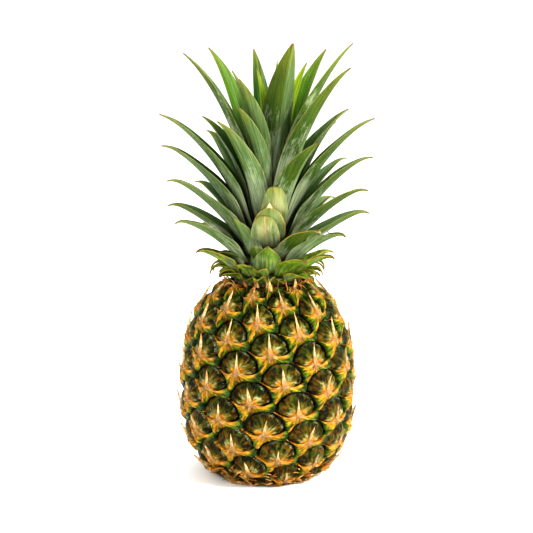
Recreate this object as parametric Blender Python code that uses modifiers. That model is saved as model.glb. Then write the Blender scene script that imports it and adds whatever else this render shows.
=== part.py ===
# Pineapple: one fused fruit body, a short crown stem, and the crown's leaves, each a piece of its own.
# Metres, +Z up. The origin is the middle of the flat stalk scar that the fruit rests on.
# Azimuths are in degrees from the front (-Y), positive towards +X.

import math
import random

import bmesh
import bpy
import numpy as np
from mathutils import Vector
from mathutils.geometry import delaunay_2d_cdt

MM = 0.001

# Fruit outline: two half superellipses that meet at the widest level
FRUIT_RADIUS = 62.6 * MM
WAIST_HEIGHT = 62.5 * MM
LOWER_REACH = 73.5 * MM
LOWER_POWER = 2.3
UPPER_REACH = 84.0 * MM
UPPER_POWER = 2.5
NECK_RADIUS = 27.5 * MM
END_FADE = 7.0 * MM

# Fruitlets: a single spiral, one after the other
FIRST_AZIMUTH = 11.0
DIVERGENCE = 137.755
FIRST_ARC = 18.7 * MM
ARC_STEP = 1.665 * MM
LOWEST_FRUITLET = -72
HIGHEST_FRUITLET = 62
PLACE_JITTER = 0.25 * MM
HEIGHT_JITTER = 0.35 * MM
FRUIT_SEED = 5

# Fruitlet relief: the domed eye, the groove around its top and the bract under it
EYE_HALF_WIDTH = 14.6 * MM
EYE_MIDDLE = 3.2 * MM
EYE_TOP = 14.8 * MM
GROOVE_TURNS = (198.0, 36.0)
SHOULDER_TURNS = (186.0, 48.0)
SHOULDER_SHARES = (0.74, 0.68)
GROOVE = -5.0 * MM
SHOULDER_OF_EYE = -0.9 * MM

# Points of a fruitlet on both sides of its middle: millimetres across, along and off the skin
PAIRED_POINTS = {
    "cheek": (5.0, 3.6, 0.3),
    "crease": (8.6, -1.9, -2.2),
    "lip": (8.8, -3.3, 0.3),
    "spike_foot": (2.5, -2.0, 0.9),
    "wing": (17.2, 0.3, -1.8),
}

# Points of the bract's lower edge, which hangs a little to the left, in the same way
SKIRT_POINTS = {
    "spike_back": (0.0, -0.3, 0.3),
    "spike_front": (0.0, -7.2, 1.6),
    "left_flank": (-9.4, -6.0, -1.2),
    "low_left": (-7.6, -12.4, -1.6),
    "low_right": (-4.0, -13.8, -2.0),
    "right_flank": (1.2, -8.6, -1.0),
    "right_wing_root": (10.0, -5.9, -1.2),
    "right_gully": (14.6, -6.2, -3.6),
}

# Spikes: the upper ones are longer, and those short of room at the ends are cut down
SPIKE_LENGTH = 11.5 * MM
SPIKE_LIFT = 4.6 * MM
TOP_SPIKE_GROWTH = 3.0 * MM
TOP_SPIKE_ARC = 84.0 * MM
SPIKE_END_ROOM = 1.5 * MM
SHORTEST_SPIKE = 2.5 * MM
FOOT_SPIKE_ROOM = 7.5 * MM
SPIKE_TIP_SHIFT = 0.4 * MM
STUB_TIP = (0.0, -3.0 * MM, 0.9 * MM)
STANDING_SHARE = 0.3

# Crown stem and its curled neck leaves
STEM_GAP = 0.3 * MM
STEM_INSET = 1.4 * MM
STEM_SIDES = 20
STEM_CAP_RISE = 5.0 * MM
NECK_LEAVES = 18
NECK_LEAF_TURN = 137.5
NECK_LEAF_SEED = 11
NECK_LEAF_RANKS = (-0.14, -0.08)
NECK_LEAF_LENGTHS = (14.0 * MM, 20.0 * MM)
NECK_LEAF_WIDTHS = (11.0 * MM, 15.0 * MM)
NECK_LEAF_BLUNTNESS = 1.7
NECK_LEAF_STATIONS = 5
NECK_LEAF_ROOT = 3.2 * MM

# Leaf blades
WRAP_LIMIT = 46.0
BLADE_STATIONS = 8
ROOT_THICKNESS = 1.3 * MM
RIB_THICKNESS = 1.0 * MM
TIP_THICKNESS = 0.7 * MM
EDGE_THICKNESS = 0.6 * MM
WIDEST_AT = 0.3
ROOT_WIDTH_SHARE = 0.84
CHANNEL_SHARE = 0.2
TIP_WIDTH_SHARE = 0.05
LAST_STATION = 0.97
STATION_POWER = 0.92
BEND_POWER = 1.7
HOOK_FROM = 0.8
THICK_PART = 0.4
CHANNEL_PART = 0.35
CHANNEL_SHAPE = (0.6, 0.4)
CROWN_LEAN = 0.025

# The blunt leaves in front close over like buds: angles from upright at the root, middle and tip.
# The lower ones lean out more, and the bluntest have round tops.
BUD_BLUNTNESS = 2.3
ROUND_BLUNTNESS = 3.0
BUD_TURNS = (42.0, 33.0, -30.0)
BUD_TURN_SHARES = (0.0, 0.55, 1.0)
BUD_SPREAD = 150.0
BUD_MIDDLE_RANK = 0.545
BUD_WIDEST_AT = 0.42
BUD_HALF_LENGTH = 0.6
BUD_ROUNDNESS = 2.3
# The broad leaf in the middle opens wider than the curve of the stem under it
BROAD_RANK = 0.95
BROAD_WIDTH = 20.0 * MM
BROAD_RADIUS = 14.0 * MM
BROAD_FROM = 0.35

# Colours and roughness of the plain materials
SKIN_COLOUR = (0.30, 0.22, 0.03)
SKIN_ROUGHNESS = 0.45
FLESH_COLOUR = (0.42, 0.45, 0.10)
FLESH_ROUGHNESS = 0.55
OLD_LEAF_COLOUR = (0.10, 0.20, 0.06)
YOUNG_LEAF_COLOUR = (0.22, 0.40, 0.06)
LEAF_ROUGHNESS = 0.42
YOUNG_FROM = 0.9
SHARP_ANGLE = 35.0

# How a leaf leaves the stem, by its rank from 0, the lowest, to 1, the innermost:
# rank, root height, root radius, start angle from upright, bend along the blade, hook at the tip
CROWN_RULE = (
    (-0.15, 144.1, 25.0, 62.0, 50.0, 70.0),
    (0.00, 145.3, 23.4, 54.0, 40.0, 60.0),
    (0.12, 148.7, 21.6, 49.0, 30.0, 60.0),
    (0.25, 154.7, 19.0, 48.0, 28.0, 50.0),
    (0.38, 162.0, 16.8, 44.0, 28.0, 45.0),
    (0.50, 169.5, 14.5, 33.0, 30.0, 35.0),
    (0.62, 176.5, 12.0, 26.0, 36.0, 12.0),
    (0.75, 185.5, 9.5, 19.0, 32.0, 8.0),
    (0.88, 196.5, 6.5, 10.0, 26.0, 5.0),
    (1.00, 208.5, 3.6, 3.0, 14.0, 3.0),
)

# Crown leaves from the neck up: azimuth, rank, length and width in millimetres, bluntness of the tip
LEAVES = (
    (-126, 0.080, 24, 18, 1.7),
    (-11, 0.085, 20, 12, 1.7),
    (64, 0.090, 35, 16, 1.7),
    (101, 0.095, 31, 16, 1.7),
    (173, 0.095, 29, 18, 1.7),
    (-80, 0.115, 36, 21, 1.7),
    (-37, 0.120, 21, 14, 1.7),
    (34, 0.125, 30, 20, 1.7),
    (137, 0.135, 30, 18, 1.7),
    (-154, 0.150, 31, 20, 1.7),
    (-1, 0.170, 30, 23, 2.0),
    (123, 0.225, 40, 16, 1.7),
    (-73, 0.235, 21, 16, 1.7),
    (-122, 0.245, 49, 22, 1.7),
    (55, 0.245, 55, 23, 1.7),
    (173, 0.245, 52, 21, 1.7),
    (-18, 0.280, 21, 16, 1.7),
    (-69, 0.290, 63, 21, 1.7),
    (94, 0.300, 66, 24, 1.7),
    (-154, 0.310, 63, 22, 1.7),
    (39, 0.335, 48, 22, 1.7),
    (-96, 0.340, 69, 23, 1.7),
    (136, 0.360, 65, 23, 1.7),
    (-43, 0.395, 35, 21, 1.7),
    (-131, 0.415, 74, 23, 1.7),
    (64, 0.430, 79, 21, 1.7),
    (-77, 0.455, 80, 23, 1.7),
    (167, 0.460, 85, 23, 1.7),
    (-6, 0.495, 30, 21, 4.0),
    (127, 0.505, 82, 19, 1.7),
    (88, 0.530, 87, 23, 1.7),
    (0, 0.545, 35, 25, 2.6),
    (-89, 0.545, 96, 24, 1.7),
    (-141, 0.575, 97, 25, 1.7),
    (9, 0.6, 42, 20, 4.0),
    (139, 0.620, 99, 24, 1.7),
    (-90, 0.635, 111, 23, 1.7),
    (87, 0.655, 104, 23, 1.7),
    (181, 0.675, 112, 23, 1.7),
    (36, 0.695, 81, 24, 1.7),
    (-122, 0.715, 91, 23, 1.7),
    (109, 0.740, 95, 25, 1.7),
    (-44, 0.755, 89, 24, 1.7),
    (-140, 0.775, 137, 22, 1.7),
    (52, 0.785, 126, 24, 1.7),
    (-93, 0.810, 129, 23, 1.7),
    (141, 0.815, 128, 23, 1.7),
    (-36, 0.845, 84, 24, 1.7),
    (83, 0.850, 130, 24, 1.7),
    (-164, 0.855, 121, 20, 1.7),
    (-38, 0.890, 98, 24, 1.7),
    (139, 0.900, 104, 18, 1.7),
    (-103, 0.930, 95, 18, 1.7),
    (172, 0.965, 96, 9, 1.7),
    (38, 0.985, 108, 25, 1.7),
    (-136, 1.000, 86, 14, 1.7),
)


def smooth_step(x):
    x = min(max(x, 0.0), 1.0)
    return x * x * (3.0 - 2.0 * x)


def on_circle(radius, azimuth, height):
    """Point at a radius, an azimuth in radians and a height."""
    return Vector((radius * math.sin(azimuth), -radius * math.cos(azimuth), height))


# Fruit outline

def outline_radius(height):
    above = height >= WAIST_HEIGHT
    reach = UPPER_REACH if above else LOWER_REACH
    power = UPPER_POWER if above else LOWER_POWER
    share = min(abs(height - WAIST_HEIGHT) / reach, 1.0)
    return FRUIT_RADIUS * (1.0 - share**power) ** (1.0 / power)


def neck_height():
    share = (1.0 - (NECK_RADIUS / FRUIT_RADIUS) ** UPPER_POWER) ** (1.0 / UPPER_POWER)
    return WAIST_HEIGHT + UPPER_REACH * share


def outline_table(steps=1200):
    """Arc length from the waist, radius and height along the outline, foot to neck."""
    heights = np.linspace(0.0, neck_height(), steps)
    radii = np.array([outline_radius(h) for h in heights])
    arcs = np.concatenate(([0.0], np.cumsum(np.hypot(np.diff(heights), np.diff(radii)))))
    arcs = arcs - np.interp(WAIST_HEIGHT, heights, arcs)
    return arcs, radii, heights


ARCS, RADII, HEIGHTS = outline_table()
FOOT_ARC = float(ARCS[0])
NECK_ARC = float(ARCS[-1])


def skin_point(azimuth, arc, lift):
    """Point lifted off the fruit's outline; past the foot and the neck it slides over a flat disc."""
    if arc <= FOOT_ARC:
        return on_circle(max(RADII[0] - (FOOT_ARC - arc), 0.0), azimuth, 0.0)
    if arc >= NECK_ARC:
        return on_circle(max(NECK_RADIUS - (arc - NECK_ARC), 0.0), azimuth, HEIGHTS[-1])
    step = 0.5 * MM
    ends = (max(arc - step, FOOT_ARC), min(arc + step, NECK_ARC))
    rise = np.interp(ends[1], ARCS, HEIGHTS) - np.interp(ends[0], ARCS, HEIGHTS)
    spread = np.interp(ends[1], ARCS, RADII) - np.interp(ends[0], ARCS, RADII)
    size = math.hypot(rise, spread)
    fade = smooth_step(min(arc - FOOT_ARC, NECK_ARC - arc) / END_FADE) if lift < 0.0 else 1.0
    lift = lift * fade
    radius = np.interp(arc, ARCS, RADII) + lift * rise / size
    height = np.interp(arc, ARCS, HEIGHTS) - lift * spread / size
    return on_circle(radius, azimuth, max(height, 0.0))


# Fruitlet pattern: one cell of the spiral lattice, as named points across, along and off the skin

def fruitlet_points():
    """Point name to (across, along, lift) in metres, from the foot of the spike."""
    high = EYE_TOP - EYE_MIDDLE
    widest = EYE_HALF_WIDTH / math.cos(math.radians(GROOVE_TURNS[0]))
    points = {}
    for number in range(7):
        turn = math.radians(GROOVE_TURNS[0] - GROOVE_TURNS[1] * number)
        across = -widest * math.cos(turn)
        points[f"groove_{number}"] = (across, EYE_MIDDLE + high * math.sin(turn), GROOVE)
    for number in range(5):
        turn = math.radians(SHOULDER_TURNS[0] - SHOULDER_TURNS[1] * number)
        across = SHOULDER_SHARES[0] * EYE_HALF_WIDTH * math.cos(turn)
        along = EYE_MIDDLE + SHOULDER_SHARES[1] * high * math.sin(turn)
        points[f"shoulder_{number}"] = (across, along, SHOULDER_OF_EYE)
    for name, (across, along, lift) in PAIRED_POINTS.items():
        points[f"left_{name}"] = (-across * MM, along * MM, lift * MM)
        points[f"right_{name}"] = (across * MM, along * MM, lift * MM)
    for name, place in SKIRT_POINTS.items():
        points[name] = tuple(value * MM for value in place)
    return points


FRUITLET_EDGES = (
    ("groove_0", "groove_1", "groove_2", "groove_3", "groove_4", "groove_5", "groove_6"),
    ("shoulder_0", "shoulder_1", "shoulder_2", "shoulder_3", "shoulder_4"),
    ("left_wing", "left_lip", "left_spike_foot", "spike_front"),
    ("spike_front", "right_spike_foot", "right_lip", "right_wing"),
    ("left_spike_foot", "spike_back", "right_spike_foot"),
    ("left_flank", "low_left", "low_right", "right_flank", "right_wing_root", "right_wing"),
)
FIXED_POINTS = {f"groove_{number}" for number in range(7)} | {"left_wing", "right_wing", "left_flank"}
SPIKE_RING = ("left_spike_foot", "spike_back", "right_spike_foot", "spike_front")

# The two lattice steps that span one cell: five fruitlets on and eight fruitlets on
STEP_A = 5
STEP_B = 8
PATCH_CELLS = range(-3, 4)


def lattice_shift(count):
    """How far the spiral moves across the skin, in radians and metres, after some fruitlets."""
    turn = math.radians((DIVERGENCE * count + 180.0) % 360.0 - 180.0)
    return turn, ARC_STEP * count


def cell_triangles(points):
    """Triangles of one cell, each corner a point name and how many fruitlets on it belongs."""
    names = sorted(points)
    shift_a = lattice_shift(STEP_A)
    shift_b = lattice_shift(STEP_B)
    owners = []
    flat = []
    index = {}
    for a in PATCH_CELLS:
        for b in PATCH_CELLS:
            across = (a * shift_a[0] + b * shift_b[0]) * FRUIT_RADIUS
            along = a * shift_a[1] + b * shift_b[1]
            for name in names:
                index[name, a, b] = len(flat)
                owners.append((name, a, b))
                x, y, _ = points[name]
                flat.append(Vector(((across + x) / MM, (along + y) / MM)))
    edges = []
    for a in PATCH_CELLS:
        for b in PATCH_CELLS:
            for chain in FRUITLET_EDGES:
                edges += [(index[p, a, b], index[q, a, b]) for p, q in zip(chain, chain[1:])]
    _, _, faces, origins, _, _ = delaunay_2d_cdt(flat, edges, [], 0, 1e-5)
    if len(origins) != len(flat):
        raise ValueError("the fruitlet's lines cross")
    back = [origin[0] for origin in origins]
    ring = {name: number for number, name in enumerate(SPIKE_RING)}
    triangles = []
    for face in faces:
        corners = [owners[back[vertex]] for vertex in face]
        first = min(corners)
        if (first[1], first[2]) != (0, 0):
            continue
        if all(name in ring for name, _, _ in corners) and len({corner[1:] for corner in corners}) == 1:
            continue
        triangles.append([(name, STEP_A * a + STEP_B * b) for name, a, b in corners])
    for name, after in zip(SPIKE_RING, SPIKE_RING[1:] + SPIKE_RING[:1]):
        triangles.append([(after, 0), (name, 0), ("spike_tip", 0)])
    return triangles


def spike_tip(arc):
    """Where a spike ends, lying up over its own eye; the shorter its room, the more it stands out."""
    wanted = SPIKE_LENGTH + TOP_SPIKE_GROWTH * smooth_step(arc / TOP_SPIKE_ARC)
    room = NECK_ARC - SPIKE_END_ROOM - arc
    length = min(wanted, room)
    if length < SHORTEST_SPIKE or arc < FOOT_ARC + FOOT_SPIKE_ROOM:
        return STUB_TIP
    return (SPIKE_TIP_SHIFT, length, SPIKE_LIFT + STANDING_SHARE * (wanted - length))


def fruit_mesh():
    """Skin of all fruitlets, closed by the flat neck and the flat scar."""
    rng = random.Random(FRUIT_SEED)
    points = fruitlet_points()
    triangles = cell_triangles(points)
    bm = bmesh.new()
    made = {}
    for number in range(LOWEST_FRUITLET, HIGHEST_FRUITLET + 1):
        turn = math.radians(FIRST_AZIMUTH + DIVERGENCE * number)
        arc = FIRST_ARC + ARC_STEP * number
        move = (rng.uniform(-1, 1) * PLACE_JITTER, rng.uniform(-1, 1) * PLACE_JITTER)
        puff = rng.uniform(-1, 1) * HEIGHT_JITTER
        for name, (across, along, lift) in {**points, "spike_tip": spike_tip(arc)}.items():
            if name not in FIXED_POINTS:
                across, along, lift = across + move[0], along + move[1], lift + puff
            azimuth = turn + across / FRUIT_RADIUS
            made[name, number] = bm.verts.new(skin_point(azimuth, arc + along, lift))
    arcs_of = {}
    for (name, number), vertex in made.items():
        along = spike_tip(0.0)[1] if name == "spike_tip" else points[name][1]
        arcs_of[vertex] = FIRST_ARC + ARC_STEP * number + along
    for number in range(LOWEST_FRUITLET, HIGHEST_FRUITLET + 1):
        for triangle in triangles:
            corners = [made.get((name, number + on)) for name, on in triangle]
            if None in corners:
                continue
            places = [arcs_of[corner] for corner in corners]
            if max(places) < FOOT_ARC or min(places) > NECK_ARC:
                continue
            bm.faces.new(corners)
    loose = [vertex for vertex in bm.verts if not vertex.link_faces]
    bmesh.ops.delete(bm, geom=loose, context="VERTS")
    close_ends(bm)
    return bm


def close_ends(bm):
    """Close the ragged edges at both ends, which lie flat in the neck and in the scar."""
    rim = [edge for edge in bm.edges if edge.is_boundary]
    for upper in (False, True):
        edges = [edge for edge in rim if (edge.verts[0].co.z > WAIST_HEIGHT) == upper]
        bmesh.ops.triangle_fill(bm, edges=edges, use_beauty=True, use_dissolve=False)
    flat = []
    for edge in bm.edges:
        if len(edge.link_faces) == 2 and edge.calc_face_angle(1.0) < 1e-4:
            level = edge.verts[0].co.z
            if level < 1e-6 or level > HEIGHTS[-1] - 1e-6:
                flat.append(edge)
    bmesh.ops.dissolve_edges(bm, edges=flat, use_verts=True)
    bmesh.ops.triangulate(bm, faces=bm.faces)
    bmesh.ops.recalc_face_normals(bm, faces=bm.faces)


# Crown

def crown_value(rank, column):
    ranks = [row[0] for row in CROWN_RULE]
    return float(np.interp(rank, ranks, [row[column] for row in CROWN_RULE]))


def blade_spine(rank, length, bluntness, steps=60):
    """Radius, height and angle from upright along a leaf's middle, in metres and radians."""
    radius = crown_value(rank, 2) * MM
    height = crown_value(rank, 1) * MM
    start, bend, hook = (crown_value(rank, column) for column in (3, 4, 5))
    spine = []
    for number in range(steps + 1):
        share = number / steps
        curl = max(0.0, (share - HOOK_FROM) / (1.0 - HOOK_FROM))
        angle = start + bend * share**BEND_POWER + hook * curl**2
        if bluntness > BUD_BLUNTNESS:
            angle = float(np.interp(share, BUD_TURN_SHARES, BUD_TURNS))
            angle += BUD_SPREAD * (BUD_MIDDLE_RANK - rank)
        turn = math.radians(angle)
        spine.append((radius, height, turn))
        radius += math.sin(turn) * length / steps
        height += math.cos(turn) * length / steps
    return spine


def lean(point):
    """The crown leans a little to one side of the fruit."""
    point.x += CROWN_LEAN * (point.z - HEIGHTS[-1])
    return point


def width_share(share, bluntness):
    if bluntness > ROUND_BLUNTNESS:
        off = abs(share - BUD_WIDEST_AT) / BUD_HALF_LENGTH
        return math.sqrt(1.0 - off**BUD_ROUNDNESS)
    if share < WIDEST_AT:
        return ROOT_WIDTH_SHARE + (1.0 - ROOT_WIDTH_SHARE) * math.sin(0.5 * math.pi * share / WIDEST_AT)
    tail = (share - WIDEST_AT) / (1.0 - WIDEST_AT)
    return TIP_WIDTH_SHARE + (1.0 - TIP_WIDTH_SHARE) * (1.0 - tail**bluntness)


def rib_thickness(share):
    if share < THICK_PART:
        return ROOT_THICKNESS + (RIB_THICKNESS - ROOT_THICKNESS) * share / THICK_PART
    return RIB_THICKNESS + (TIP_THICKNESS - RIB_THICKNESS) * (share - THICK_PART) / (1.0 - THICK_PART)


def blade_point(spine, azimuth, share, side, depth, width, bluntness, broad):
    """Point of a blade: share along it, side from -1 to 1 across it, depth under its upper face."""
    place = share * (len(spine) - 1)
    low = min(int(place), len(spine) - 2)
    part = place - low
    radius, height, angle = (a + (b - a) * part for a, b in zip(spine[low], spine[low + 1]))
    curve = radius
    if broad:
        curve += max(BROAD_RADIUS - radius, 0.0) * smooth_step(share / BROAD_FROM)
    half = 0.5 * width * width_share(share, bluntness)
    half = min(half, curve * math.radians(WRAP_LIMIT))
    channel = 0.0
    if bluntness <= BUD_BLUNTNESS:
        channel = CHANNEL_SHARE * 2.0 * half * smooth_step(share / CHANNEL_PART)
    lift = channel * (CHANNEL_SHAPE[0] * abs(side) + CHANNEL_SHAPE[1] * side * side) - depth
    middle = on_circle(radius - curve, math.radians(azimuth), height + lift * math.sin(angle))
    turn = math.radians(azimuth) + side * half / curve
    return lean(middle + on_circle(curve - lift * math.cos(angle), turn, 0.0))


def blade_mesh(bm, azimuth, rank, length, width, bluntness, stations):
    """A closed thin blade: upper and lower face of three points across, a pointed tip."""
    spine = blade_spine(rank, length, bluntness)
    broad = rank > BROAD_RANK and width > BROAD_WIDTH
    rows = []
    for number in range(stations):
        share = LAST_STATION * (number / (stations - 1)) ** STATION_POWER
        row = []
        for side in (-1, 0, 1):
            thick = rib_thickness(share) if side == 0 else EDGE_THICKNESS
            over = blade_point(spine, azimuth, share, side, 0.0, width, bluntness, broad)
            under = blade_point(spine, azimuth, share, side, thick, width, bluntness, broad)
            row.append((bm.verts.new(over), bm.verts.new(under)))
        rows.append(row)
    tip = bm.verts.new(blade_point(spine, azimuth, 1.0, 0, 0.5 * TIP_THICKNESS, width, bluntness, broad))
    loops = [[row[0][0], row[1][0], row[2][0], row[2][1], row[1][1], row[0][1]] for row in rows]
    for loop, after in zip(loops, loops[1:]):
        for number in range(6):
            following = (number + 1) % 6
            a, b, c, d = loop[number], loop[following], after[following], after[number]
            if number in (0, 4):
                bm.faces.new((a, b, c))
                bm.faces.new((a, c, d))
            else:
                bm.faces.new((a, b, d))
                bm.faces.new((b, c, d))
    for number in range(6):
        bm.faces.new((loops[-1][number], loops[-1][(number + 1) % 6], tip))
    root = loops[0]
    for a, b, c, d in ((root[5], root[4], root[1], root[0]), (root[4], root[3], root[2], root[1])):
        bm.faces.new((a, b, c))
        bm.faces.new((a, c, d))


def stem_outline():
    """Radius and height up the stem, kept inside the roots of the leaves."""
    rows = [(row[2] * MM - STEM_INSET, row[1] * MM) for row in CROWN_RULE[1:]]
    foot = (CROWN_RULE[0][2] * MM - STEM_INSET, HEIGHTS[-1] + STEM_GAP)
    top = (0.0, rows[-1][1] + STEM_CAP_RISE)
    return [foot] + rows + [top]


# Objects

def make_material(name, colour, roughness):
    material = bpy.data.materials.new(name)
    material.use_nodes = True
    shader = material.node_tree.nodes["Principled BSDF"]
    shader.inputs["Base Color"].default_value = (*colour, 1.0)
    shader.inputs["Roughness"].default_value = roughness
    shader.inputs["Metallic"].default_value = 0.0
    material.diffuse_color = (*colour, 1.0)
    return material


def add_object(name, bm, material, collection):
    bmesh.ops.recalc_face_normals(bm, faces=bm.faces)
    mesh = bpy.data.meshes.new(name)
    bm.to_mesh(mesh)
    bm.free()
    mesh.materials.append(material)
    mesh.shade_smooth()
    mesh.set_sharp_from_angle(angle=math.radians(SHARP_ANGLE))
    made = bpy.data.objects.new(name, mesh)
    collection.objects.link(made)
    return made


def make_fruit(collection):
    skin = make_material("fruit_skin", SKIN_COLOUR, SKIN_ROUGHNESS)
    add_object("fruit", fruit_mesh(), skin, collection)


def make_stem(collection):
    """A turned stem with the small curled leaves of the neck fused into it."""
    flesh = make_material("crown_stem", FLESH_COLOUR, FLESH_ROUGHNESS)
    profile = bmesh.new()
    chain = [profile.verts.new((radius, 0.0, height)) for radius, height in reversed(stem_outline())]
    chain.append(profile.verts.new((0.0, 0.0, HEIGHTS[-1] + STEM_GAP)))
    for first, second in zip(chain, chain[1:]):
        profile.edges.new((first, second))
    stem = add_object("crown_stem", profile, flesh, collection)
    turned = stem.modifiers.new("turned", "SCREW")
    turned.steps = STEM_SIDES
    turned.render_steps = STEM_SIDES
    turned.use_merge_vertices = True
    turned.merge_threshold = 0.00001
    apply_modifiers(stem)
    for vertex in stem.data.vertices:
        vertex.co = lean(vertex.co)
    leaves = bpy.data.collections.new("neck_leaves")
    bpy.context.scene.collection.children.link(leaves)
    rng = random.Random(NECK_LEAF_SEED)
    for number in range(NECK_LEAVES):
        bm = bmesh.new()
        rank = NECK_LEAF_RANKS[0] + (NECK_LEAF_RANKS[1] - NECK_LEAF_RANKS[0]) * number / (NECK_LEAVES - 1)
        length = rng.uniform(*NECK_LEAF_LENGTHS)
        width = rng.uniform(*NECK_LEAF_WIDTHS)
        turn = number * NECK_LEAF_TURN
        blade_mesh(bm, turn, rank, length, width, NECK_LEAF_BLUNTNESS, NECK_LEAF_STATIONS)
        for vertex in bm.verts:
            inward = Vector((vertex.co.x, vertex.co.y, 0.0)).normalized()
            vertex.co -= inward * NECK_LEAF_ROOT
        add_object(f"neck_leaf_{number}", bm, flesh, leaves)
    fuse = stem.modifiers.new("fuse", "BOOLEAN")
    fuse.operation = "UNION"
    fuse.operand_type = "COLLECTION"
    fuse.collection = leaves
    fuse.solver = "MANIFOLD"
    apply_modifiers(stem)
    for leaf in list(leaves.objects):
        bpy.data.objects.remove(leaf)
    bpy.data.collections.remove(leaves)


def apply_modifiers(target):
    graph = bpy.context.evaluated_depsgraph_get()
    mesh = bpy.data.meshes.new_from_object(target.evaluated_get(graph))
    target.modifiers.clear()
    target.data = mesh


def make_leaves(collection):
    for number, (azimuth, rank, length, width, bluntness) in enumerate(LEAVES, start=1):
        young = smooth_step((rank - YOUNG_FROM) / (1.0 - YOUNG_FROM))
        colour = [old + (new - old) * young for old, new in zip(OLD_LEAF_COLOUR, YOUNG_LEAF_COLOUR)]
        blade = make_material(f"leaf_{number:02d}", colour, LEAF_ROUGHNESS)
        bm = bmesh.new()
        blade_mesh(bm, azimuth, rank, length * MM, width * MM, bluntness, BLADE_STATIONS)
        add_object(f"leaf_{number:02d}", bm, blade, collection)


def main():
    for thing in list(bpy.data.objects):
        bpy.data.objects.remove(thing)
    collection = bpy.data.collections.new("pineapple")
    bpy.context.scene.collection.children.link(collection)
    make_fruit(collection)
    make_stem(collection)
    make_leaves(collection)


main()
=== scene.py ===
import math
import random

import bpy
import numpy as np
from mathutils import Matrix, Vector, noise


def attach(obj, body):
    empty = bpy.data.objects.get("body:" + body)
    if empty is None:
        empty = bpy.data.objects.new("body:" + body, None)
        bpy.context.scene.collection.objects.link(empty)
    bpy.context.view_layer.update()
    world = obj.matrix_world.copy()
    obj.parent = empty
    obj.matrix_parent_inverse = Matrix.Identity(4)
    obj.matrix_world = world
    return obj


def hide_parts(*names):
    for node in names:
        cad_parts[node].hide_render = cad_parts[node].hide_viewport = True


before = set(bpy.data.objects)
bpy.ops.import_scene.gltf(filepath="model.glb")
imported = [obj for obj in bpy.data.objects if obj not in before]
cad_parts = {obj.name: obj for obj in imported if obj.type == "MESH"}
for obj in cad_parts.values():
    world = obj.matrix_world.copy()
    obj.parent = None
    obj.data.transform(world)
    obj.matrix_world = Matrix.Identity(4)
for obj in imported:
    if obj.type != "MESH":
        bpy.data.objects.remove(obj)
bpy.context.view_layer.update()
scene = bpy.context.scene
mm = 0.001
print("frame loaded:", len(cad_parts), "nodes")

# where the picture was taken from, and the light around the fruit
view = {
    "lookAt": (-0.0006, 0.0, 0.1522),
    "distance": 1.2,
    "elevation": 11.0,  # degrees above the floor
    "lens": 112.6,
    "floorColour": (0.95, 0.95, 0.95),
    "floorShade": 0.985,
    "floorDrop": 0.0002,
    "floorSize": 30.0,
    "worldLight": 1.0,
    "look": "High Contrast",
}
lamps = {  # name: place, size, watts, colour
    "keyRight": ((1.2, -0.82, 1.08), 0.36, 24.0, (1.0, 0.985, 0.96)),
    "sideRight": ((1.3, -0.2, 0.5), 0.5, 5.5, (1.0, 1.0, 1.0)),
    "fillLeft": ((-1.1, -0.9, 0.9), 0.6, 5.5, (1.0, 1.0, 1.0)),
    "topSoft": ((0.1, 0.25, 1.6), 0.8, 9.0, (1.0, 1.0, 1.0)),
}


def aimAt(thing, target):
    direction = Vector(target) - thing.location
    thing.rotation_euler = direction.to_track_quat("-Z", "Y").to_euler()


def setCamera():
    up = math.radians(view["elevation"])
    aim = Vector(view["lookAt"])
    data = bpy.data.cameras.new("photoCamera")
    data.lens = view["lens"]
    data.sensor_width = 36.0
    data.clip_start = 0.05
    camera = bpy.data.objects.new("photoCamera", data)
    camera.location = aim + Vector((0.0, -math.cos(up), math.sin(up))) * view["distance"]
    scene.collection.objects.link(camera)
    aimAt(camera, aim)
    scene.camera = camera


def setLights():
    for name, (place, size, watts, colour) in lamps.items():
        data = bpy.data.lights.new(name, "AREA")
        data.shape = "DISK"
        data.size = size
        data.energy = watts
        data.color = colour
        lamp = bpy.data.objects.new(name, data)
        lamp.location = place
        scene.collection.objects.link(lamp)
        aimAt(lamp, view["lookAt"])
    world = bpy.data.worlds.new("studio")
    world.use_nodes = True
    back = world.node_tree.nodes["Background"]
    back.inputs["Color"].default_value = (1.0, 1.0, 1.0, 1.0)
    back.inputs["Strength"].default_value = view["worldLight"]
    scene.world = world
    scene.view_settings.view_transform = "Standard"
    scene.view_settings.look = view["look"]


# small helpers for the materials; new nodes go into the material made last
current = {}


def newMaterial(name):
    current["material"] = bpy.data.materials.new(name)
    current["material"].use_nodes = True
    current["tree"] = current["material"].node_tree


def feed(socket, value):
    if isinstance(value, bpy.types.NodeSocket):
        current["tree"].links.new(value, socket)
    elif isinstance(value, tuple) and socket.type == "RGBA":
        socket.default_value = (*value, 1.0)
    else:
        socket.default_value = value


def addNode(kind, values, **settings):
    made = current["tree"].nodes.new("ShaderNode" + kind)
    for key, value in settings.items():
        setattr(made, key, value)
    for key, value in values.items():
        feed(made.inputs[key], value)
    return made


def calc(operation, first, *others):
    for other in others or (0.0,):
        first = addNode("Math", {0: first, 1: other}, operation=operation).outputs[0]
    return first


def times(*values):
    return calc("MULTIPLY", *values)


def plus(*values):
    return calc("ADD", *values)


def minus(*values):
    return calc("SUBTRACT", *values)


def nudged(value, grain, amount):
    # up or down with the grain, which is 0.5 on average
    return plus(value, times(minus(grain, 0.5), amount))


def joined(x, y, z=0.0):
    return addNode("CombineXYZ", {0: x, 1: y, 2: z}).outputs[0]


def remap(value, low, high, newLow=0.0, newHigh=1.0):
    values = {"Value": value, "From Min": low, "From Max": high, "To Min": newLow, "To Max": newHigh}
    made = addNode("MapRange", values, interpolation_type="SMOOTHSTEP")
    return made.outputs["Result"]


def blend(amount, first, second, mode="MIX"):
    values = {0: amount, 6: first, 7: second}
    return addNode("Mix", values, data_type="RGBA", blend_type=mode).outputs[2]


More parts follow.
